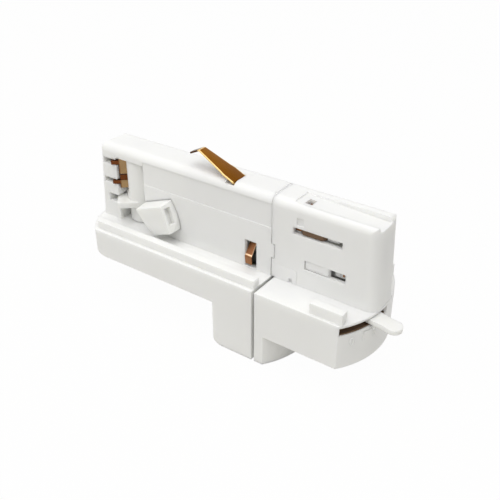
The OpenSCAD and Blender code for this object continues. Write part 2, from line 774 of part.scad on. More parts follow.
// The bent leaf in the side window.
module side_contact()
  color("peru") placed()
    along_x(leaf_x0, leaf_x1)
      bent_strip([leaf_y, leaf_root_z], [-half_w - 0.6, win[2] + 3.4], [-half_w - 0.3, win[2] + 0.86], 0.4);

module terminal_block()
  color("gainsboro") placed() difference() {
    translate([term_x0, -term_half, -main_roof - 0.05 - term_h]) cube([term_x1 - term_x0, 2 * term_half, term_h]);
    for (k = [-1:1]) {
      translate([(term_x0 + term_x1) / 2, k * term_pitch, -main_roof - 1 - term_h])
        cylinder(r = term_screw_r + fit, h = 4.4);
      translate([term_x0 - 1, k * term_pitch, -main_roof - 0.05 - term_h * 0.42]) rotate([0, 90, 0])
        cylinder(r = 1.1, h = term_x1 - term_x0 + 2);
    }
  }

module terminal_screws()
  color("silver") placed()
    for (k = [-1:1])
      translate([(term_x0 + term_x1) / 2, k * term_pitch, -main_roof - term_h + 0.2]) difference() {
        cylinder(r = term_screw_r, h = 1.4);
        translate([-3, -0.25, -eps]) cube([6, 0.5, 0.5]);
      }

// Hexagon nut on the floor of the boss, its thread drawn at the tube's outer size.
module nipple_nut()
  color("silver") placed() translate([nipple_x, 0, -boss_h + boss_floor + 0.02]) difference() {
    nut_prism(nut_af, nut_h);
    translate([0, 0, -1]) cylinder(r = nipple_d / 2, h = nut_h + 2);
  }

main_housing();
selector_housing();
base_cover();
selector_cover();
cover_screws();
lock_rotor();
lock_lever();
lock_contact_upper();
lock_contact_lower();
claw_front();
claw_back();
claw_spring();
selector_rotor();
selector_lever();
selector_contact_upper();
selector_contact_lower();
detent_plate();
earth_spring();
earth_bar();
side_contact();
terminal_block();
terminal_screws();
nipple_nut();
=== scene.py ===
import math

import bpy
import numpy as np
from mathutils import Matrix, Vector


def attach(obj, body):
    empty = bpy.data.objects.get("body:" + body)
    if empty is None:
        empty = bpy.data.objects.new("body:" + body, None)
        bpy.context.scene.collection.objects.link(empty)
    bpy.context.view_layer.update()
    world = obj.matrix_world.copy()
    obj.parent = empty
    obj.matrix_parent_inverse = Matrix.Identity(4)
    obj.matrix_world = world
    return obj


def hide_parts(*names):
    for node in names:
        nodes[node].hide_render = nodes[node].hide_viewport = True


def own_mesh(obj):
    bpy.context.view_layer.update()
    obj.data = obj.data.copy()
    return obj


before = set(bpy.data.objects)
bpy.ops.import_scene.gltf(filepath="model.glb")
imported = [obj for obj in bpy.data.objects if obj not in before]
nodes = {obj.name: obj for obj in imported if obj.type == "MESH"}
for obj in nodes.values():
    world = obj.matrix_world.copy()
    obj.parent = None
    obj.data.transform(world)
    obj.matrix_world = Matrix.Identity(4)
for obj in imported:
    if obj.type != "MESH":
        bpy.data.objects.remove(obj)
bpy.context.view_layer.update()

# ---- The view ----------------------------------------------------------------------------------
# The adapter stands on the flat end of its boss and is looked at from the front right, a little
# from above, with the perspective that the edges of the photograph give.
eye = Vector((0.09718, -0.14318, 0.13117))
look_at = Vector((-0.004254, 0.0, 0.024828))
camera = bpy.data.objects.new("camera", bpy.data.cameras.new("camera"))
camera.data.lens = 50.94
camera.data.sensor_width = 36.0
camera.data.clip_start = 0.01
camera.location = eye
camera.rotation_euler = (look_at - eye).to_track_quat("-Z", "Y").to_euler()
bpy.context.scene.collection.objects.link(camera)
bpy.context.scene.camera = camera

# ---- Main housing ------------------------------------------------------------------------------
# The longer moulding: slim body for the track, wide flange with two rails, and the boss for the
# lamp's tube. White polycarbonate, injection moulded in a finely eroded tool.


def linear(code):
    """sRGB hex to linear: each channel c is c / 12.92 below 0.04045, else ((c + 0.055) / 1.055) ** 2.4."""
    c = np.array([int(code[i:i + 2], 16) for i in (1, 3, 5)]) / 255
    return (*np.where(c <= 0.04045, c / 12.92, ((c + 0.055) / 1.055) ** 2.4), 1.0)


def add(tree, kind, settings=(), links=()):
    """Adds a node. settings are (name or input, value) pairs, links are (input, output socket) pairs."""
    made = tree.nodes.new(kind)
    for name, value in settings:
        if isinstance(name, str) and hasattr(made, name):
            setattr(made, name, value)
        else:
            made.inputs[name].default_value = value
    for name, source in links:
        tree.links.new(source, made.inputs[name])
    return made


def new_material(name):
    """An empty node material and its tree."""
    made = bpy.data.materials.new(name)
    made.use_nodes = True
    made.node_tree.nodes.clear()
    return made, made.node_tree


def moulded_plastic(name, pale, shaded, roughness, grit_mm, grit, edge_mm, depth_mm):
    """Moulded plastic: slow colour drift over 14 mm, fine eroded grit in the bump, roughness that drifts
    with the flow of the melt, edges that catch the light over the small radius of the tool, and light that
    goes depth_mm into the wall and softens the gaps."""
    drift_mm, bump_mm, gloss_drift, scattered = 14, 0.04, 0.06, 0.8
    made, tree = new_material(name)
    where = add(tree, "ShaderNodeTexCoord").outputs["Object"]
    drift = add(tree, "ShaderNodeTexNoise", [("Scale", 1000 / drift_mm), ("Detail", 2.0)], [("Vector", where)])
    tone = add(tree, "ShaderNodeMix", [("data_type", "RGBA"), (6, linear(pale)), (7, linear(shaded))],
               [("Factor", drift.outputs["Fac"])])
    gloss = add(tree, "ShaderNodeMapRange",
                [("From Min", 0.3), ("From Max", 0.7), ("To Min", roughness - gloss_drift),
                 ("To Max", roughness + gloss_drift)], [("Value", drift.outputs["Fac"])])
    grains = add(tree, "ShaderNodeTexNoise", [("Scale", 1000 / grit_mm), ("Detail", 3.0)], [("Vector", where)])
    edge = add(tree, "ShaderNodeBevel", [("samples", 6), ("Radius", edge_mm / 1000)])
    bump = add(tree, "ShaderNodeBump", [("Strength", grit), ("Distance", bump_mm / 1000)],
               [("Height", grains.outputs["Fac"]), ("Normal", edge.outputs[0])])
    skin = add(tree, "ShaderNodeBsdfPrincipled",
               [("IOR", 1.58), ("Subsurface Weight", scattered if depth_mm else 0.0),
                ("Subsurface Radius", (1.0, 1.0, 0.95)), ("Subsurface Scale", depth_mm / 1000)],
               [("Base Color", tone.outputs[2]), ("Roughness", gloss.outputs[0]), ("Normal", bump.outputs[0])])
    add(tree, "ShaderNodeOutputMaterial", links=[("Surface", skin.outputs[0])])
    return made


def finish_node(name, material, edge_mm=0.0):
    """Gives a CAD node its material and, where edge_mm is given, a real radius on its edges by live modifiers:
    doubles merged, flat faces joined, edges over 28 degrees rounded."""
    piece = nodes[name]
    piece.data.materials.clear()
    piece.data.materials.append(material)
    if edge_mm:
        piece.modifiers.new("merge", "WELD").merge_threshold = 1e-6
        flat = piece.modifiers.new("flat", "DECIMATE")
        flat.decimate_type = "DISSOLVE"
        flat.angle_limit = math.radians(0.5)
        bevel = piece.modifiers.new("edge", "BEVEL")
        bevel.width = edge_mm / 1000
        bevel.segments = 2
        bevel.limit_method = "ANGLE"
        bevel.angle_limit = math.radians(28)
        bevel.use_clamp_overlap = False
        bevel.miter_outer = "MITER_ARC"
        shade = piece.modifiers.new("shade", "WEIGHTED_NORMAL")
        shade.keep_sharp = False
        shade.weight = 80


# Polycarbonate, moulded: clean near-white with a soft satin sheen. The eroded grit is 0.1 mm on the real
# part and is drawn at 0.3 mm, so that it shows.
polycarbonate = moulded_plastic("moulded_polycarbonate_white", "#F0F0EE", "#ECECEA", roughness=0.42, grit_mm=0.3,
                                grit=0.25, edge_mm=0.28, depth_mm=1.6)
finish_node("main_housing", polycarbonate)

# ---- Selector housing --------------------------------------------------------------------------
# The shorter moulding behind the seam, with the round end under which the lever swings. The same
# polycarbonate; it snaps on to the main housing with two tabs.
finish_node("selector_housing", polycarbonate)

# ---- Covers and their screws -------------------------------------------------------------------
# Two flat moulded plates close the flanges from below, each held by two self-tapping steel screws
# with slotted heads, zinc plated.


def plated(name, colour, tint, roughness):
    """Zinc plate over steel: grey metal with a faint warm and cool drift over 2 mm and fine pits of 0.2 mm."""
    drift_mm, pit_mm, pit_deep_mm, smoother, duller = 2.0, 0.2, 0.02, 0.08, 0.12
    made, tree = new_material(name)
    where = add(tree, "ShaderNodeTexCoord").outputs["Object"]
    drift = add(tree, "ShaderNodeTexNoise", [("Scale", 1000 / drift_mm), ("Detail", 3.0)], [("Vector", where)])
    tone = add(tree, "ShaderNodeMix", [("data_type", "RGBA"), (6, linear(colour)), (7, linear(tint))],
               [("Factor", drift.outputs["Fac"])])
    pits = add(tree, "ShaderNodeTexNoise", [("Scale", 1000 / pit_mm), ("Detail", 2.0)], [("Vector", where)])
    gloss = add(tree, "ShaderNodeMapRange", [("To Min", roughness - smoother), ("To Max", roughness + duller)],
                [("Value", pits.outputs["Fac"])])
    bump = add(tree, "ShaderNodeBump", [("Strength", 0.2), ("Distance", pit_deep_mm / 1000)],
               [("Height", pits.outputs["Fac"])])
    skin = add(tree, "ShaderNodeBsdfPrincipled", [("Metallic", 1.0)],
               [("Base Color", tone.outputs[2]), ("Roughness", gloss.outputs[0]), ("Normal", bump.outputs[0])])
    add(tree, "ShaderNodeOutputMaterial", links=[("Surface", skin.outputs[0])])
    return made


# Zinc-plated steel: pale blue-grey, semi-bright, a little uneven.
zinc = plated("zinc_plated_steel", "#B9BDC0", "#A9A79E", roughness=0.34)
for name in ("base_cover", "selector_cover"):
    finish_node(name, polycarbonate)
finish_node("cover_screws", zinc, edge_mm=0.06)

# ---- Lock rotor, its lever and its contacts ----------------------------------------------------
# A drum with a locking wing turns in the open bay at the left. White acetal, moulded, with two bronze
# contacts pressed into its window; the hand lever under it is keyed to its stem.


def rolled_strip(name, face, deep, bright, roughness):
    """Rolled strip for the contacts: brown metal with rolling lines 0.25 mm apart that run along X, and a darker
    patina that gathers in patches of 3 mm."""
    line_run_mm, line_mm, patina_mm, line_deep_mm, smoother, duller = 8.0, 0.25, 3.0, 0.02, 0.08, 0.1
    made, tree = new_material(name)
    where = add(tree, "ShaderNodeTexCoord").outputs["Object"]
    along = add(tree, "ShaderNodeMapping", [("Scale", (1000 / line_run_mm, 1000 / line_mm, 1000 / line_mm))],
                [("Vector", where)])
    lines = add(tree, "ShaderNodeTexNoise", [("Scale", 1.0), ("Detail", 2.0)], [("Vector", along.outputs[0])])
    patina = add(tree, "ShaderNodeTexNoise", [("Scale", 1000 / patina_mm), ("Detail", 3.0)], [("Vector", where)])
    brown = add(tree, "ShaderNodeMix", [("data_type", "RGBA"), (6, linear(face)), (7, linear(deep))],
                [("Factor", patina.outputs["Fac"])])
    streak = add(tree, "ShaderNodeMapRange", [("From Min", 0.45), ("From Max", 0.8), ("To Max", 0.45)],
                 [("Value", lines.outputs["Fac"])])
    tone = add(tree, "ShaderNodeMix", [("data_type", "RGBA"), (7, linear(bright))],
               [("Factor", streak.outputs[0]), (6, brown.outputs[2])])
    gloss = add(tree, "ShaderNodeMapRange", [("To Min", roughness - smoother), ("To Max", roughness + duller)],
                [("Value", lines.outputs["Fac"])])
    bump = add(tree, "ShaderNodeBump", [("Strength", 0.15), ("Distance", line_deep_mm / 1000)],
               [("Height", lines.outputs["Fac"])])
    skin = add(tree, "ShaderNodeBsdfPrincipled", [("Metallic", 1.0)],
               [("Base Color", tone.outputs[2]), ("Roughness", gloss.outputs[0]), ("Normal", bump.outputs[0])])
    add(tree, "ShaderNodeOutputMaterial", links=[("Surface", skin.outputs[0])])
    return made


def paint_tongue_shade(made, brown, axis_at, from_r, to_r):
    """Gives a strip a second tone as painted shade, by its distance from the lock's upright axis: none up to from_r,
    all of it past to_r."""
    tree = made.node_tree
    skin = next(n for n in tree.nodes if n.type == "BSDF_PRINCIPLED")
    blade = skin.inputs["Base Color"].links[0].from_socket
    where = add(tree, "ShaderNodeTexCoord").outputs["Object"]
    out = add(tree, "ShaderNodeVectorMath", [("operation", "SUBTRACT"), (1, axis_at)], [(0, where)])
    plan = add(tree, "ShaderNodeVectorMath", [("operation", "MULTIPLY"), (1, (1.0, 1.0, 0.0))],
               [(0, out.outputs[0])])
    reach = add(tree, "ShaderNodeVectorMath", [("operation", "LENGTH")], [(0, plan.outputs[0])])
    share = add(tree, "ShaderNodeMapRange", [("From Min", from_r), ("From Max", to_r)],
                [("Value", reach.outputs["Value"])])
    tone = add(tree, "ShaderNodeMix", [("data_type", "RGBA"), (7, linear(brown))],
               [("Factor", share.outputs[0]), (6, blade)])
    tree.links.new(tone.outputs[2], skin.inputs["Base Color"])


# Acetal, moulded: slightly creamier and silkier than the housings, with finer grit.
acetal = moulded_plastic("moulded_acetal_white", "#F0F0ED", "#ECECE9", roughness=0.34, grit_mm=0.22, grit=0.15,
                         edge_mm=0.3, depth_mm=1.2)
# Phosphor bronze strip, rolled: brown with paler streaks along the rolling direction.
contact_bronze = rolled_strip("rolled_phosphor_bronze", "#A87A5A", "#7A543B", "#C79A72", roughness=0.34)
# The same strip on the lock: tan where it sits in the drum, with painted shade in a dark brown on the tongues that
# reach out.
lock_bronze = rolled_strip("rolled_phosphor_bronze_shaded_tongues", "#A2875F", "#907250", "#B99C76", roughness=0.38)
paint_tongue_shade(lock_bronze, "#6E3F22", axis_at=(-0.0447, 0.0, 0.0), from_r=0.0066, to_r=0.0071)
for name in ("lock_rotor", "lock_lever"):
    finish_node(name, acetal)
for name in ("lock_contact_upper", "lock_contact_lower"):
    finish_node(name, lock_bronze)

# ---- Snap claws and their spring ---------------------------------------------------------------
# Two sloped blocks look out of the body's side walls and hook over the track's lips; a ring of steel
# strip between them pushes them out. Acetal, moulded, and zinc-plated spring steel, bent from strip.
ring_middle, ring_tilt = (-0.03124, 0.0, 0.02857), 20.5
ring_r, ring_t, ring_half, ring_edge = 0.0044, 0.0004, 0.003, 0.0001
ring_steps, ring_keep = 41, 0.1


def surface(name, points, closed_u=False, closed_v=False, uv=None):
    """A mesh from a grid of points (rows, columns, 3): neighbouring points make quads, a closed direction joins its
    last line to its first, and where only the rows are rings the first and last ring are capped."""
    rows, cols = points.shape[:2]
    index = np.arange(rows * cols).reshape(rows, cols)
    a = index if closed_u else index[:-1]
    b = np.roll(index, -1, 0) if closed_u else index[1:]
    wrap = (lambda g: (g, np.roll(g, -1, 1))) if closed_v else (lambda g: (g[:, :-1], g[:, 1:]))
    (a0, a1), (b0, b1) = wrap(a), wrap(b)
    quads = np.stack([a0, a1, b1, b0], -1).reshape(-1, 4)
    caps = [index[0, ::-1], index[-1]] if closed_v and not closed_u else []
    mesh = bpy.data.meshes.new(name)
    mesh.from_pydata(points.reshape(-1, 3), [], quads.tolist() + [cap.tolist() for cap in caps])
    if uv is not None:
        layer = mesh.uv_layers.new(name="strip")
        corners = np.concatenate([quads.reshape(-1), *caps])
        layer.data.foreach_set("uv", uv.reshape(-1, 2)[corners].astype(np.float32).ravel())
    mesh.polygons.foreach_set("use_smooth", np.ones(len(mesh.polygons), bool))
    mesh.update()
    return mesh


def place(name, mesh, material, body):
    """Links a finished mesh as a piece that rides on a body."""
    mesh.materials.append(material)
    piece = bpy.data.objects.new(name, mesh)
    bpy.context.scene.collection.objects.link(piece)
    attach(piece, body)
    return piece


def strip_grid(points, run, length, half_width, thick, corner):
    """A rounded-rectangle profile carried along a flat path: across by half_width, which may change along the path,
    and through by the thickness along the path's normal. The ends close on the middle of the strip.
    Returns the points in the path's plane, their distance across it, and a UV of (length, share of the half width)."""
    t = np.radians(np.linspace(0, 90, 4))
    arcs = np.stack([np.cos(t), np.sin(t)], 1)
    turn = np.concatenate([arcs, arcs[::-1] * (-1, 1), arcs * (-1, -1), arcs[::-1] * (1, -1)])
    sign = np.repeat(np.array([[1, 1], [-1, 1], [-1, -1], [1, -1]]), 4, 0)
    across = (half_width[:, None] - corner) * sign[None, :, 0] + corner * turn[None, :, 0]
    through = np.broadcast_to((thick / 2 - corner) * sign[:, 1] + corner * turn[:, 1], across.shape)
    shut = np.ones(len(points) + 2)
    shut[[0, -1]] = 1e-3
    points, run, across, through, length, half_width = (
        np.concatenate([v[:1], v, v[-1:]]) for v in (points, run, across, through, length, half_width))
    normal = np.stack([-run[:, 1], run[:, 0]], 1)
    flat = points[:, None] + (through * shut[:, None])[..., None] * normal[:, None]
    share = across / half_width[:, None]
    uv = np.stack([np.broadcast_to(length[:, None], share.shape), share], -1)
    return flat, across * shut[:, None], uv


for name in ("claw_front", "claw_back"):
    finish_node(name, acetal)
finish_node("claw_spring", zinc)
lean = math.radians(ring_tilt)
ring_along = np.array([math.cos(lean), 0.0, math.sin(lean)])
ring_axis = np.array([-math.sin(lean), 0.0, math.cos(lean)])
# The ring is drawn as two halves, both riding on the housing.
for name, joint, start in (("claw_spring_front", "claw_front_press", 180), ("claw_spring_back", "claw_back_press", 0)):
    turn = np.radians(np.linspace(start, start + 180, ring_steps))
    points = ring_r * np.stack([np.cos(turn), np.sin(turn)], 1)
    run = np.stack([-np.sin(turn), np.cos(turn)], 1)
    flat, across, _ = strip_grid(points, run, ring_r * (turn - turn[0]), np.full(ring_steps, ring_half), ring_t,
                                 ring_edge)
    grid = (np.array(ring_middle) + flat[..., :1] * ring_along + flat[..., 1:] * np.array([0.0, 1.0, 0.0])
            - across[..., None] * ring_axis)
    half = place(name, surface(name, grid, False, True), zinc, "housing")
    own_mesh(half)
    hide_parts("claw_spring")

# ---- Guide bands of the claws ------------------------------------------------------------------
# A low band round the foot of each claw runs in the wall's opening and keeps dust out of the gap. It is
# moulded on the claw, of the same acetal, and stands 0.2 mm under the wall's face.
claw_corner = (-0.0356, 0.02395)
claw_high, claw_wide, claw_round = 0.00916, 0.0114, 0.016
claw_nose, claw_nose_z, claw_tip = -0.0003, 0.00856, 0.0003
claw_heel, claw_heel_z, claw_toe = 0.00115, 0.00412, 0.0035
band_y = (-0.0055, -0.00495)
band_off = (-0.00002, 0.00025)
bulge_half, bulge_steps = math.asin(claw_high / 2 / claw_round), 25


def claw_outline(off):
    """The claw's outline, moved out by off along its normals: straight left edges, a round right edge as an arc
    about a point to the left, and corners moved to where the two moved edges meet (sum of the edges' normals
    over one plus their dot product)."""
    t = np.linspace(-bulge_half, bulge_half, bulge_steps)
    bulge = np.stack([claw_wide - claw_round + claw_round * np.cos(t), claw_high / 2 + claw_round * np.sin(t)], 1)
    left = np.array([(claw_nose + claw_tip, claw_high), (claw_nose, claw_high - claw_tip), (claw_nose, claw_nose_z),
                     (claw_heel, claw_heel_z), (claw_toe, 0.0)])
    loop = np.concatenate([bulge, left])
    edge = np.roll(loop, -1, 0) - loop
    out = np.stack([edge[:, 1], -edge[:, 0]], 1) / np.linalg.norm(edge, axis=1, keepdims=True)
    before = np.roll(out, 1, 0)
    return loop + off * (before + out) / (1 + np.sum(before * out, 1, keepdims=True))


inner, outer = (claw_outline(off) for off in band_off)
shape = np.stack([inner, outer, outer, inner], 1)
for name, body, side in (("claw_band_front", "claw_front", 1), ("claw_band_back", "claw_back", -1)):
    depth = np.broadcast_to(side * np.repeat(band_y, 2), shape.shape[:2])
    grid = np.stack([claw_corner[0] + shape[..., 0] * ring_along[0] + shape[..., 1] * ring_axis[0], depth,
                     claw_corner[1] + shape[..., 0] * ring_along[2] + shape[..., 1] * ring_axis[2]], -1)
    place(name, surface(name, grid[::side], True, True), acetal, body)

# ---- Selector rotor, lever, contacts and detent plate ------------------------------------------
# The finger lever turns a hub in the right body; its two arms bring bronze contacts behind the wall's
# slots. Acetal for rotor and lever, bronze for the contacts and the plate that the lever clicks on.
finish_node("selector_rotor", acetal)
finish_node("selector_lever", acetal)
# Phosphor bronze with painted shade: a dull brown, darkened for the shade of the slot that the plate lies in.
slot_shade_bronze = rolled_strip("rolled_phosphor_bronze_slot_shade", "#7A6350", "#5C4A3C", "#8F7862", roughness=0.45)
for name in ("selector_contact_upper", "selector_contact_lower"):
    finish_node(name, contact_bronze)
finish_node("detent_plate", slot_shade_bronze)

# ---- Numerals on the selector's rim ------------------------------------------------------------
# Raised figures 0, 1 and 2 on the round end show where the lever clicks. They are engraved in the tool and
# stand out of the moulding by about a tenth of a millimetre.
rim_centre = (0.0141, 0.0)
rim_r = 0.025
figure_z = 0.0175
figure_at = (-28.5, -20.5, -10.5)
bead_half, bead_high, bead_deep = 0.00017, 0.00013, 0.00004


def bead(path, degrees, closed):
    """A round-topped bead along a flat path (u, v): a half-ellipse profile stands on the path's normal, is bent
    on to the rim (angle = place + u / radius, height = v), and shrinks to a point at open ends."""
    run = np.roll(path, -1, 0) - np.roll(path, 1, 0) if closed else np.gradient(path, axis=0)
    run = run / np.linalg.norm(run, axis=1, keepdims=True)
    side = np.stack([-run[:, 1], run[:, 0]], 1)
    turn = np.linspace(0, 2 * np.pi, 12, endpoint=False)
    full = np.ones(len(path))
    if not closed:
        full[[0, -1]] = 1e-3
    flat = path[:, None] + bead_half * full[:, None, None] * np.cos(turn)[None, :, None] * side[:, None]
    high = full[:, None] * np.where(np.sin(turn) > 0, bead_high, bead_deep)[None] * np.sin(turn)[None]
    angle = math.radians(degrees) + flat[..., 0] / rim_r
    return np.stack([rim_centre[0] + (rim_r + high) * np.cos(angle), rim_centre[1] + (rim_r + high) * np.sin(angle),
                     figure_z + flat[..., 1]], -1)


def arc(u, v, ru, rv, start, end, count):
    """Points on an ellipse arc about (u, v), from one angle in degrees to another."""
    t = np.radians(np.linspace(start, end, count))
    return np.stack([u + ru * np.cos(t), v + rv * np.sin(t)], 1)


def straight(*corners):
    """Points along straight runs between corners, 12 to a run."""
    c = np.array(corners, float)
    t = np.linspace(0, 1, 12, endpoint=False)[None, :, None]
    return np.concatenate([(c[:-1, None] * (1 - t) + c[1:, None] * t).reshape(-1, 2), c[-1:]])


# Each figure is drawn in metres about its own middle: along the rim, then up.
figures = (
    (arc(0, 0, 0.00058, 0.00105, 0, 352, 45), True),
    (straight((-0.00035, 0.0006), (0.0001, 0.00105), (0.0001, -0.00105)), False),
    (np.concatenate([arc(0, 0.00047, 0.00055, 0.00058, 165, -25, 24),
                     straight((0.0004, 0.0001), (-0.00058, -0.00105), (0.00062, -0.00105))]), False),
)
# Polycarbonate in thin raised lines: the housing's white, with no depth for light to go into.
raised = moulded_plastic("moulded_polycarbonate_raised", "#F4F4F2", "#F0F0EE", roughness=0.42, grit_mm=0.3,
                         grit=0.25, edge_mm=0.05, depth_mm=0.0)
for number, ((path, closed), degrees) in enumerate(zip(figures, figure_at)):
    grid = bead(path, degrees, closed)
    place(f"rim_figure_{number}", surface(f"rim_figure_{number}", grid, closed, True), raised, "housing")

# ---- Earth spring and earth bar ----------------------------------------------------------------
# A tapering leaf of bronze strip rises out of its slot in the body's top, bends down at its tip and presses
# on the track's roof; a fixed bar under the roof joins it to the side contact.
spring_t, spring_edge = 0.0005, 0.00012
spring_y = -0.0021
spring_foot = (-0.00655, 0.0461)
spring_root = (-0.00655, 0.04765)
spring_ridge = (-0.0191, 0.05345)
spring_tip = (-0.0226, 0.05175)
spring_bends = (0.0004, 0.0009)
spring_foot_half, spring_foot_top = 0.0021, 0.04745
spring_half = ((0.0063, 0.0103, 0.0106, 0.0192, 0.0227), (0.0028, 0.0028, 0.00255, 0.0014, 0.001))


def bent_path(corners, radii, count):
    """A path of straight runs joined by arcs: corner points, a radius for each inner corner, and count points to
    each run and arc. An arc starts radius * tan(half the turn) before its corner and swings about a centre on
    the inner side. Gives points, unit tangents and lengths along the path."""
    c = np.array(corners, float)
    step = np.diff(c, axis=0)
    way = step / np.linalg.norm(step, axis=1, keepdims=True)
    pieces, at = [], c[0]
    share = np.linspace(0, 1, count, endpoint=False)[:, None]
    for corner, d1, d2, radius in zip(c[1:-1], way[:-1], way[1:], radii):
        half = math.acos(float(np.clip(d1 @ d2, -1, 1))) / 2
        inner = math.copysign(1.0, d1[0] * d2[1] - d1[1] * d2[0]) * np.array([-d1[1], d1[0]])
        start = corner - d1 * radius * math.tan(half)
        t = 2 * half * share
        pieces += [at + (start - at) * share, start + radius * (inner * (1 - np.cos(t)) + d1 * np.sin(t))]
        at = corner + d2 * radius * math.tan(half)
    pieces += [at + (c[-1] - at) * share, c[-1:]]
    points = np.concatenate(pieces)
    run = np.gradient(points, axis=0)
    run /= np.linalg.norm(run, axis=1, keepdims=True)
    length = np.concatenate([[0], np.cumsum(np.linalg.norm(np.diff(points, axis=0), axis=1))])
    return points, run, length


def spring_bronze(name, face, deep, root, tip, edge, roughness, root_mm, bend_mm):
    """Bronze strip with a UV of (length, share of width): rolling lines 0.2 mm apart along the strip, painted shade in
    a deeper brown from the root, which fades between the two lengths of root_mm, a painted highlight as a bright line
    on the bend at bend_mm, painted light in another tone past it, and painted highlights along the sheared edges."""
    line_run_mm, lines_across, patina_mm, line_deep_mm, gloss_drift = 5.0, 14.0, 1.6, 0.02, 0.1
    crest_mm, crest_half_mm, turned_mm, highlight_from, highlight_to = 0.25, 0.2, 0.4, 0.88, 0.97
    made, tree = new_material(name)
    strip = add(tree, "ShaderNodeUVMap", [("uv_map", "strip")]).outputs[0]
    split = add(tree, "ShaderNodeSeparateXYZ", links=[("Vector", strip)])
    along = add(tree, "ShaderNodeMapping", [("Scale", (1000 / line_run_mm, lines_across, 1.0))], [("Vector", strip)])
    lines = add(tree, "ShaderNodeTexNoise", [("Scale", 1.0), ("Detail", 3.0)], [("Vector", along.outputs[0])])
    where = add(tree, "ShaderNodeTexCoord").outputs["Object"]
    patina = add(tree, "ShaderNodeTexNoise", [("Scale", 1000 / patina_mm), ("Detail", 4.0)], [("Vector", where)])
    brown = add(tree, "ShaderNodeMix", [("data_type", "RGBA"), (6, linear(face)), (7, linear(deep))],
                [("Factor", patina.outputs["Fac"])])
    # Painted shade: a deeper brown near the root.
    near_root = add(tree, "ShaderNodeMapRange", [("From Min", root_mm[0] / 1000), ("From Max", root_mm[1] / 1000),
                                                 ("To Min", 1.0), ("To Max", 0.0)], [("Value", split.outputs["X"])])
    root_shaded = add(tree, "ShaderNodeMix", [("data_type", "RGBA"), (7, linear(root))],
                 [("Factor", near_root.outputs[0]), (6, brown.outputs[2])])
    # Painted light: the tip's own tone past the bend.
    past_bend_light = add(tree, "ShaderNodeMapRange",
                    [("From Min", bend_mm / 1000), ("From Max", (bend_mm + turned_mm) / 1000)],
                    [("Value", split.outputs["X"])])
    # Painted highlight: a bright band across the strip on the bend.
    crest_highlight = add(tree, "ShaderNodeMath",
                [("operation", "COMPARE"), (1, (bend_mm - crest_mm) / 1000), (2, crest_half_mm / 1000)],
                [(0, split.outputs["X"])])
    body = add(tree, "ShaderNodeMix", [("data_type", "RGBA"), (7, linear(edge))],
               [("Factor", crest_highlight.outputs[0]), (6, root_shaded.outputs[2])])
    # Painted highlights along both edges.
    off_middle = add(tree, "ShaderNodeMath", [("operation", "ABSOLUTE")], [(0, split.outputs["Y"])])
    edge_highlight = add(tree, "ShaderNodeMapRange", [("From Min", highlight_from), ("From Max", highlight_to)],
               [("Value", off_middle.outputs[0])])
    edge_highlighted = add(tree, "ShaderNodeMix", [("data_type", "RGBA"), (7, linear(edge))],
                [("Factor", edge_highlight.outputs[0]), (6, body.outputs[2])])
    tone = add(tree, "ShaderNodeMix", [("data_type", "RGBA"), (7, linear(tip))],
               [("Factor", past_bend_light.outputs[0]), (6, edge_highlighted.outputs[2])])
    gloss = add(tree, "ShaderNodeMapRange", [("To Min", roughness - gloss_drift), ("To Max", roughness + gloss_drift)],
                [("Value", lines.outputs["Fac"])])
    bump = add(tree, "ShaderNodeBump", [("Strength", 0.12), ("Distance", line_deep_mm / 1000)],
               [("Height", lines.outputs["Fac"])])
    skin = add(tree, "ShaderNodeBsdfPrincipled", [("Metallic", 1.0)],
               [("Base Color", tone.outputs[2]), ("Roughness", gloss.outputs[0]), ("Normal", bump.outputs[0])])
    add(tree, "ShaderNodeOutputMaterial", links=[("Surface", skin.outputs[0])])
    return made


# Phosphor bronze, rolled and sheared: amber brown with painted shade at the root and on the tip past the bend, and
# painted gold highlights on the edges and on the bend.
amber_bronze = spring_bronze("sheared_phosphor_bronze_amber", "#96601A", "#83520F", "#7A4A0C", "#4E3114", "#F3D08F",
                             roughness=0.3, root_mm=(3, 12), bend_mm=15.6)
points, run, length = bent_path((spring_foot, spring_root, spring_ridge, spring_tip), spring_bends, count=16)
half_width = np.where(points[:, 1] < spring_foot_top, spring_foot_half, np.interp(-points[:, 0], *spring_half))
flat, across, uv = strip_grid(points, run, length, half_width, spring_t, spring_edge)
grid = np.stack([flat[..., 0], spring_y + across, flat[..., 1]], -1)
earth_leaf = place("earth_leaf", surface("earth_leaf", grid, False, True, uv), amber_bronze, "earth_spring")
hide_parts("earth_spring")
finish_node("earth_bar", contact_bronze)

# ---- Bowed leaf of the upper selector contact --------------------------------------------------
# A thin leaf of bronze with painted shade, darkened for the slot, is clinched to the ends of the upper contact and
# bows out into the slot, where it wipes along the track's conductor. It is rolled strip, 0.2 mm thick, bent at two
# corners.
bow_corners = ((0.0153, -0.00412), (0.0162, -0.00515), (0.0219, -0.00515), (0.0228, -0.00412))
bow_bend, bow_z, bow_half, bow_t, bow_edge = 0.0005, 0.0399, 0.0007, 0.0002, 0.00008


def even_strip(corners, radii, half, thick, edge, count=12):
    """A strip of one width along a bent path: the points in the path's plane and their distance across it."""
    points, run, length = bent_path(corners, radii, count)
    return strip_grid(points, run, length, np.full(len(points), half), thick, edge)[:2]


flat, across = even_strip(bow_corners, (bow_bend, bow_bend), bow_half, bow_t, bow_edge)
grid = np.stack([flat[..., 0], flat[..., 1], bow_z - across], -1)
place("contact_bow", surface("contact_bow", grid, False, True), slot_shade_bronze, "selector")

# ---- Web on the rotor's lower finger -----------------------------------------------------------
# A thin web of the same acetal moulding stiffens the finger that looks out of the lower slot. It stands level
# with the finger's face and is short enough to pass through the slot with it.
web_x0, web_x1, web_y, web_z = 0.0259, 0.02748, -0.00385, 0.0305
web_half, web_t, web_edge = 0.0011, 0.0003, 0.0001
flat, across = even_strip(((web_x0, web_y), (web_x1, web_y)), (), web_half, web_t, web_edge)
grid = np.stack([flat[..., 0], flat[..., 1], web_z - across], -1)
place("finger_web", surface("finger_web", grid, False, True), acetal, "selector")
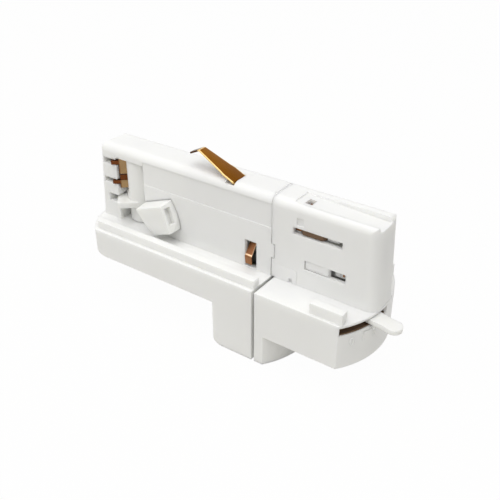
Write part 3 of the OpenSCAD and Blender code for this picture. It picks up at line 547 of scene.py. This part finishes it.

# ---- Raised root of the lower lock contact -----------------------------------------------------
# The lower contact's strip runs on up behind the tongue, darkened by painted shade, and ends short of the upper
# contact, so that the two stay apart. It is the same rolled bronze.
root_foot, root_way = np.array([-0.04935, -0.00469]), np.array([0.761, 0.648])
root_back = np.array([-0.648, 0.761])
root_z, root_half, root_t, root_edge = 0.03741, 0.00088, 0.0005, 0.0001
root_in, root_reach = 0.00035, (-0.0004, 0.0025)
# Phosphor bronze with painted shade: a dark red-brown with little streak, for the shade behind the tongue.
recess_shade_bronze = rolled_strip("rolled_phosphor_bronze_recess_shade", "#6E3F22", "#5C341B", "#84502F", roughness=0.4)
start, end = (root_foot + root_in * root_back + along * root_way for along in root_reach)
flat, across = even_strip((start, end), (), root_half, root_t, root_edge)
grid = np.stack([flat[..., 0], flat[..., 1], root_z - across], -1)
place("lock_contact_root", surface("lock_contact_root", grid, False, True), recess_shade_bronze, "lock")

# ---- Tab under the top window ------------------------------------------------------------------
# A fixed bronze tab stands on the floor of the shaft under the small window in the top groove and bends over
# below the opening. It is rolled strip, pressed into the housing at its foot.
tab_corners = ((0.0171, 0.04152), (0.0171, 0.0463), (0.0158, 0.0463))
tab_bend, tab_y, tab_half, tab_t, tab_edge = 0.0004, -0.00185, 0.0011, 0.0003, 0.0001
flat, across = even_strip(tab_corners, (tab_bend,), tab_half, tab_t, tab_edge)
grid = np.stack([flat[..., 0], tab_y + across, flat[..., 1]], -1)
place("window_tab", surface("window_tab", grid, False, True), contact_bronze, "housing")

# ---- Rib in the seam ---------------------------------------------------------------------------
# A low rib on the edge of the main housing stands in the seam, just under the surface, and keeps the two
# mouldings in line over the top and down to the tabs. The same polycarbonate.
rib_x, rib_half, rib_t, rib_edge = 0.006925, 0.000115, 0.0003, 0.00003
rib_side, rib_top, rib_end, rib_bend = 0.00533, 0.0477, 0.036, 0.0022
rib_corners = ((-rib_side, rib_end), (-rib_side, rib_top), (rib_side, rib_top), (rib_side, rib_end))
flat, across = even_strip(rib_corners, (rib_bend, rib_bend), rib_half, rib_t, rib_edge, count=16)
grid = np.stack([rib_x - across, flat[..., 0], flat[..., 1]], -1)
place("seam_rib", surface("seam_rib", grid, False, True), raised, "housing")

# ---- Side contact ------------------------------------------------------------------------------
# A narrow bent leaf of the same strip looks out of the window near the seam and is pressed back by the
# track's side. It shows redder and duller than the earth spring.
leaf_x0, leaf_x1 = -0.00165, 0.0006
leaf_corners, leaf_bend = ((-0.0026, 0.0319), (-0.0063, 0.02704), (-0.006, 0.0245)), 0.0006
leaf_t, leaf_edge = 0.0004, 0.0001
# Phosphor bronze, rolled and sheared: a dull red-brown with painted shade at the root, a lighter painted tone past the
# bend, and pale painted highlights on the edges and on the bend.
copper_bronze = spring_bronze("sheared_phosphor_bronze_red", "#8A5E41", "#7A5236", "#6B462D", "#9C6E4C", "#E9C6A2",
                              roughness=0.36, root_mm=(3, 5.5), bend_mm=5.8)
points, run, length = bent_path(leaf_corners, (leaf_bend,), count=16)
points = points + leaf_t / 2 * np.stack([-run[:, 1], run[:, 0]], 1)
half_width = np.full(len(points), (leaf_x1 - leaf_x0) / 2)
flat, across, uv = strip_grid(points, run, length, half_width, leaf_t, leaf_edge)
grid = np.stack([(leaf_x0 + leaf_x1) / 2 - across, flat[..., 0], flat[..., 1]], -1)
side_leaf = place("side_leaf", surface("side_leaf", grid, False, True, uv), copper_bronze, "side_contact")
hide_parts("side_contact")

# ---- Terminals and the tube's nut --------------------------------------------------------------
# Inside the flange a grey moulded block takes the lamp's wires under three screws, and a hexagon nut on the
# boss's floor takes the threaded tube. Polyamide for the block, zinc-plated steel for the rest.

# Polyamide, moulded: a dull warm grey with a soft edge.
polyamide = moulded_plastic("moulded_polyamide_grey", "#DADAD4", "#CFCFC8", roughness=0.5, grit_mm=0.3, grit=0.3,
                            edge_mm=0.2, depth_mm=1.0)
finish_node("terminal_block", polyamide)
finish_node("terminal_screws", zinc, edge_mm=0.06)
finish_node("nipple_nut", zinc, edge_mm=0.12)

# ---- Floor and light ---------------------------------------------------------------------------
# A sheet of white paper under the adapter, one wide soft box overhead and an even white room. The camera and
# reflections see the paper as white, and the adapter's own shadow stays on it.
floor_half, floor_z, fibre_mm = 2.0, -0.00002, 1.5
white_share, room_level = 0.975, 0.455
box_side, box_watts = 0.9, 5.1
box_at, box_aim = Vector((-0.03, -0.25, 0.71)), Vector((0.0, 0.0, 0.03))


def seen_directly(tree):
    """1 for rays from the camera, from gloss and through clear pieces, else 0: the largest of the three."""
    path = add(tree, "ShaderNodeLightPath")
    seen = add(tree, "ShaderNodeMath", [("operation", "MAXIMUM")],
               [(0, path.outputs["Is Camera Ray"]), (1, path.outputs["Is Glossy Ray"])])
    seen = add(tree, "ShaderNodeMath", [("operation", "MAXIMUM")],
               [(0, seen.outputs[0]), (1, path.outputs["Is Transmission Ray"])])
    return seen.outputs[0]


# Paper, uncoated: warm white with a faint drift of the fibres, lit as matt paper and seen almost white.
paper, tree = new_material("white_paper")
where = add(tree, "ShaderNodeTexCoord").outputs["Object"]
fibre = add(tree, "ShaderNodeTexNoise", [("Scale", 1000 / fibre_mm), ("Detail", 3.0)], [("Vector", where)])
tone = add(tree, "ShaderNodeMix", [("data_type", "RGBA"), (6, linear("#DCDAD4")), (7, linear("#D7D5CF"))],
           [("Factor", fibre.outputs["Fac"])])
matt = add(tree, "ShaderNodeBsdfDiffuse", links=[("Color", tone.outputs[2])])
white = add(tree, "ShaderNodeEmission", [("Color", linear("#FFFFFF")), ("Strength", 1.0)])
share = add(tree, "ShaderNodeMath", [("operation", "MULTIPLY"), (1, white_share)], [(0, seen_directly(tree))])
mixed = add(tree, "ShaderNodeMixShader",
            links=[("Fac", share.outputs[0]), (1, matt.outputs[0]), (2, white.outputs[0])])
add(tree, "ShaderNodeOutputMaterial", links=[("Surface", mixed.outputs[0])])
steps = np.linspace(-floor_half, floor_half, 9)
u, v = np.meshgrid(steps, steps)
floor_mesh = surface("floor", np.stack([u, v, np.full_like(u, floor_z)], -1))
floor_mesh.materials.append(paper)
floor = bpy.data.objects.new("floor", floor_mesh)
bpy.context.scene.collection.objects.link(floor)

box = bpy.data.lights.new("soft_box", "AREA")
box.shape = "RECTANGLE"
box.size, box.size_y = box_side, box_side
box.energy = box_watts
lamp = bpy.data.objects.new("soft_box", box)
lamp.location = box_at
lamp.rotation_euler = (box_aim - box_at).to_track_quat("-Z", "Y").to_euler()
bpy.context.scene.collection.objects.link(lamp)

room = bpy.data.worlds.new("white_room")
room.use_nodes = True
tree = room.node_tree
tree.nodes.clear()
level = add(tree, "ShaderNodeMapRange", [("To Min", room_level), ("To Max", 1.0)], [("Value", seen_directly(tree))])
sky = add(tree, "ShaderNodeBackground", [("Color", linear("#FFFFFF"))], [("Strength", level.outputs[0])])
add(tree, "ShaderNodeOutputWorld", links=[("Surface", sky.outputs[0])])
bpy.context.scene.world = room
bpy.context.scene.view_settings.view_transform = "Standard"
